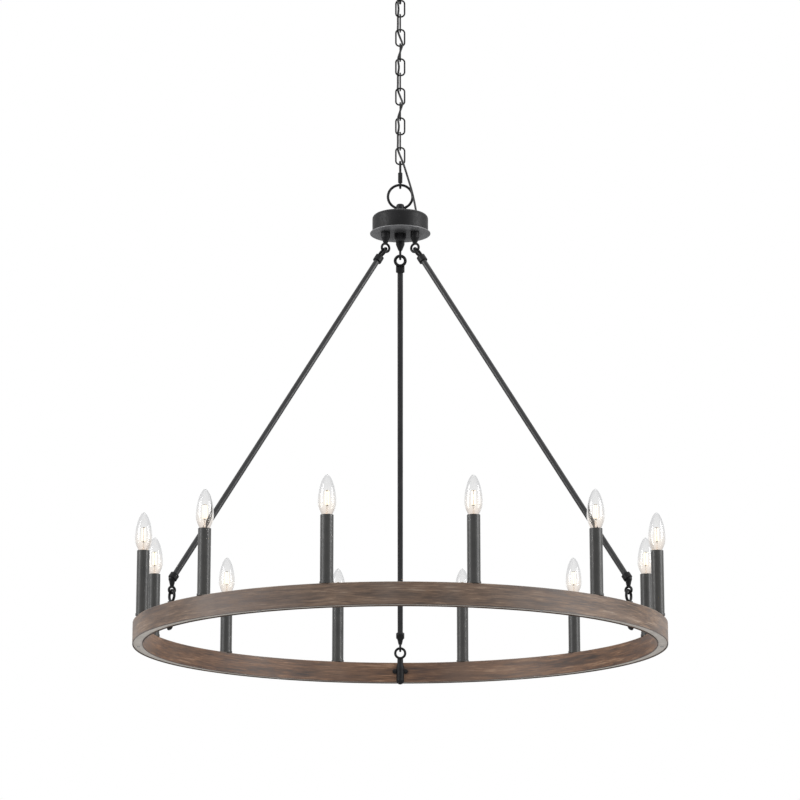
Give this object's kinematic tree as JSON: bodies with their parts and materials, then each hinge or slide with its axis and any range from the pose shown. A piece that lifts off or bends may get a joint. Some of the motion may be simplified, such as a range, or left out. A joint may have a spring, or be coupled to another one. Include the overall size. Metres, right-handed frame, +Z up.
{
  "type": "wagon wheel chandelier",
  "caption": "Hoop chandelier: a wood-look steel ring of candle lamps hung by hooked rods from a drum hub, on a quick link, a chain with its cord and a ceiling canopy.",
  "frame": {"origin": "centre of the crossbar's two box screw slots, on the ceiling plane, on the hanging axis", "axes": "+Z up into the ceiling, -Y towards the viewer of the picture, +X to the viewer's right"},
  "size_m": [1.0958, 1.096, 1.479],
  "materials": {
    "black_metal": "matte black powder coat on steel",
    "plate_metal": "satin charcoal paint on steel",
    "rod_metal": "matte charcoal paint on steel tube",
    "sleeve_metal": "matte dark grey paint on steel tube",
    "ring_finish": "printed weathered-wood look on sheet steel",
    "ring_underside": "pale weathered-wood look on sheet steel",
    "zinc": "zinc plated",
    "thread_brass": "plain brass-plated thread",
    "ground_green": "green screw",
    "cord_jacket": "matte black jacket",
    "bulb_glass": "clear glass",
    "socket_white": "off-white moulding",
    "harness_jacket": "pale cable jacket",
    "connector_orange": "orange moulded connector"
  },
  "bodies": {
    "ceiling": {"canopy": "black_metal", "crossbar": "zinc", "ground_screw": "ground_green", "ceiling_tube": "thread_brass", "lock_nuts": "thread_brass", "screw_collar": "black_metal", "canopy_loop": "black_metal", "cord": "cord_jacket"},
    "link_01": {"link_01": "black_metal"},
    "link_02": {"link_02": "black_metal"},
    "link_03": {"link_03": "black_metal"},
    "link_04": {"link_04": "black_metal"},
    "link_05": {"link_05": "black_metal"},
    "link_06": {"link_06": "black_metal"},
    "link_07": {"link_07": "black_metal"},
    "link_08": {"link_08": "black_metal"},
    "link_09": {"link_09": "black_metal"},
    "link_10": {"link_10": "black_metal"},
    "link_11": {"link_11": "black_metal"},
    "quick_link": {"quick_link": "black_metal", "quick_link_nut": "black_metal"},
    "hub_loop": {"hub_loop": "black_metal"},
    "hub": {"hub_boss": "black_metal", "hub_drum": "black_metal", "hub_plate": "plate_metal", "cap_nut": "black_metal", "hub_eyes": "black_metal", "hub_eye_nuts": "zinc", "cord_bushing": "cord_jacket", "wire_connectors": "connector_orange"},
    "left_rod": {"left_rod": "rod_metal", "left_rod_eyes": "black_metal"},
    "right_rod": {"right_rod": "rod_metal", "right_rod_eyes": "black_metal"},
    "rear_rod": {"rear_rod": "rod_metal", "rear_rod_eyes": "black_metal"},
    "ring": {"ring_channel": "ring_finish", "ring_cover": "ring_underside", "cover_screws": "zinc", "ring_brackets": "black_metal", "bracket_screws": "black_metal", "candle_seats": "sleeve_metal", "candle_sleeves": "sleeve_metal", "threaded_tubes": "thread_brass", "candle_nuts": "thread_brass", "lamp_sockets": "socket_white", "ring_harness": "harness_jacket"},
    "bulb_01": {"bulb_01": "bulb_glass"},
    "bulb_02": {"bulb_02": "bulb_glass"},
    "bulb_03": {"bulb_03": "bulb_glass"},
    "bulb_04": {"bulb_04": "bulb_glass"},
    "bulb_05": {"bulb_05": "bulb_glass"},
    "bulb_06": {"bulb_06": "bulb_glass"},
    "bulb_07": {"bulb_07": "bulb_glass"},
    "bulb_08": {"bulb_08": "bulb_glass"},
    "bulb_09": {"bulb_09": "bulb_glass"},
    "bulb_10": {"bulb_10": "bulb_glass"},
    "bulb_11": {"bulb_11": "bulb_glass"},
    "bulb_12": {"bulb_12": "bulb_glass"}
  },
  "joints": [
    {"name": "chain_01_swing", "type": "hinge", "parent": "ceiling", "child": "link_01", "pos_m": [0, 0, -0.0735], "axis": [0, 1, 0], "range_deg": [-10, 10], "deforming": ["cord"]},
    {"name": "chain_02_swing", "type": "hinge", "parent": "link_01", "child": "link_02", "pos_m": [0, 0, -0.10595], "axis": [1, 0, 0], "range_deg": [-10, 10]},
    {"name": "chain_03_swing", "type": "hinge", "parent": "link_02", "child": "link_03", "pos_m": [0, 0, -0.13915], "axis": [0, 1, 0], "range_deg": [-10, 10]},
    {"name": "chain_04_swing", "type": "hinge", "parent": "link_03", "child": "link_04", "pos_m": [0, 0, -0.17235], "axis": [1, 0, 0], "range_deg": [-10, 10]},
    {"name": "chain_05_swing", "type": "hinge", "parent": "link_04", "child": "link_05", "pos_m": [0, 0, -0.20555], "axis": [0, 1, 0], "range_deg": [-10, 10]},
    {"name": "chain_06_swing", "type": "hinge", "parent": "link_05", "child": "link_06", "pos_m": [0, 0, -0.23875], "axis": [1, 0, 0], "range_deg": [-10, 10]},
    {"name": "chain_07_swing", "type": "hinge", "parent": "link_06", "child": "link_07", "pos_m": [0, 0, -0.27195], "axis": [0, 1, 0], "range_deg": [-10, 10]},
    {"name": "chain_08_swing", "type": "hinge", "parent": "link_07", "child": "link_08", "pos_m": [0, 0, -0.30515], "axis": [1, 0, 0], "range_deg": [-10, 10]},
    {"name": "chain_09_swing", "type": "hinge", "parent": "link_08", "child": "link_09", "pos_m": [0, 0, -0.33835], "axis": [0, 1, 0], "range_deg": [-10, 10]},
    {"name": "chain_10_swing", "type": "hinge", "parent": "link_09", "child": "link_10", "pos_m": [0, 0, -0.37155], "axis": [1, 0, 0], "range_deg": [-10, 10]},
    {"name": "chain_11_swing", "type": "hinge", "parent": "link_10", "child": "link_11", "pos_m": [0, 0, -0.40475], "axis": [0, 1, 0], "range_deg": [-10, 10]},
    {"name": "quick_link_swing", "type": "hinge", "parent": "link_11", "child": "quick_link", "pos_m": [0, 0, -0.43795], "axis": [1, 0, 0], "range_deg": [-10, 10]},
    {"name": "hub_loop_swing", "type": "hinge", "parent": "quick_link", "child": "hub_loop", "pos_m": [0, 0, -0.48915], "axis": [0, 1, 0], "range_deg": [-10, 10]},
    {"name": "hub_swing", "type": "hinge", "parent": "hub_loop", "child": "hub", "pos_m": [0, 0, -0.53585], "axis": [1, 0, 0], "range_deg": [-10, 10]},
    {"name": "ring_twist", "type": "hinge", "parent": "hub", "child": "ring", "pos_m": [0, 0, -1.4521], "axis": [0, 0, 1], "range_deg": [-12, 12]},
    {"name": "left_rod_swing", "type": "hinge", "parent": "hub", "child": "left_rod", "pos_m": [-0.03092, -0.01785, -0.62741], "axis": [0, 0, 1], "range_deg": [-13, 13]},
    {"name": "right_rod_swing", "type": "hinge", "parent": "hub", "child": "right_rod", "pos_m": [0.03092, -0.01785, -0.62741], "axis": [0, 0, 1], "range_deg": [-13, 13]},
    {"name": "rear_rod_swing", "type": "hinge", "parent": "hub", "child": "rear_rod", "pos_m": [0, 0.0357, -0.62741], "axis": [0, 0, 1], "range_deg": [-13, 13]},
    {"name": "bulb_01_out", "type": "slide", "parent": "ring", "child": "bulb_01", "axis": [0, 0, 1], "range_m": [0, 0.03]},
    {"name": "bulb_02_out", "type": "slide", "parent": "ring", "child": "bulb_02", "axis": [0, 0, 1], "range_m": [0, 0.03]},
    {"name": "bulb_03_out", "type": "slide", "parent": "ring", "child": "bulb_03", "axis": [0, 0, 1], "range_m": [0, 0.03]},
    {"name": "bulb_04_out", "type": "slide", "parent": "ring", "child": "bulb_04", "axis": [0, 0, 1], "range_m": [0, 0.03]},
    {"name": "bulb_05_out", "type": "slide", "parent": "ring", "child": "bulb_05", "axis": [0, 0, 1], "range_m": [0, 0.03]},
    {"name": "bulb_06_out", "type": "slide", "parent": "ring", "child": "bulb_06", "axis": [0, 0, 1], "range_m": [0, 0.03]},
    {"name": "bulb_07_out", "type": "slide", "parent": "ring", "child": "bulb_07", "axis": [0, 0, 1], "range_m": [0, 0.03]},
    {"name": "bulb_08_out", "type": "slide", "parent": "ring", "child": "bulb_08", "axis": [0, 0, 1], "range_m": [0, 0.03]},
    {"name": "bulb_09_out", "type": "slide", "parent": "ring", "child": "bulb_09", "axis": [0, 0, 1], "range_m": [0, 0.03]},
    {"name": "bulb_10_out", "type": "slide", "parent": "ring", "child": "bulb_10", "axis": [0, 0, 1], "range_m": [0, 0.03]},
    {"name": "bulb_11_out", "type": "slide", "parent": "ring", "child": "bulb_11", "axis": [0, 0, 1], "range_m": [0, 0.03]},
    {"name": "bulb_12_out", "type": "slide", "parent": "ring", "child": "bulb_12", "axis": [0, 0, 1], "range_m": [0, 0.03]}
  ],
  "couplings": [
    {"joint": "left_rod_swing", "follows": "ring_twist", "ratio": 1.0737},
    {"joint": "right_rod_swing", "follows": "ring_twist", "ratio": 1.0737},
    {"joint": "rear_rod_swing", "follows": "ring_twist", "ratio": 1.0737}
  ]
}
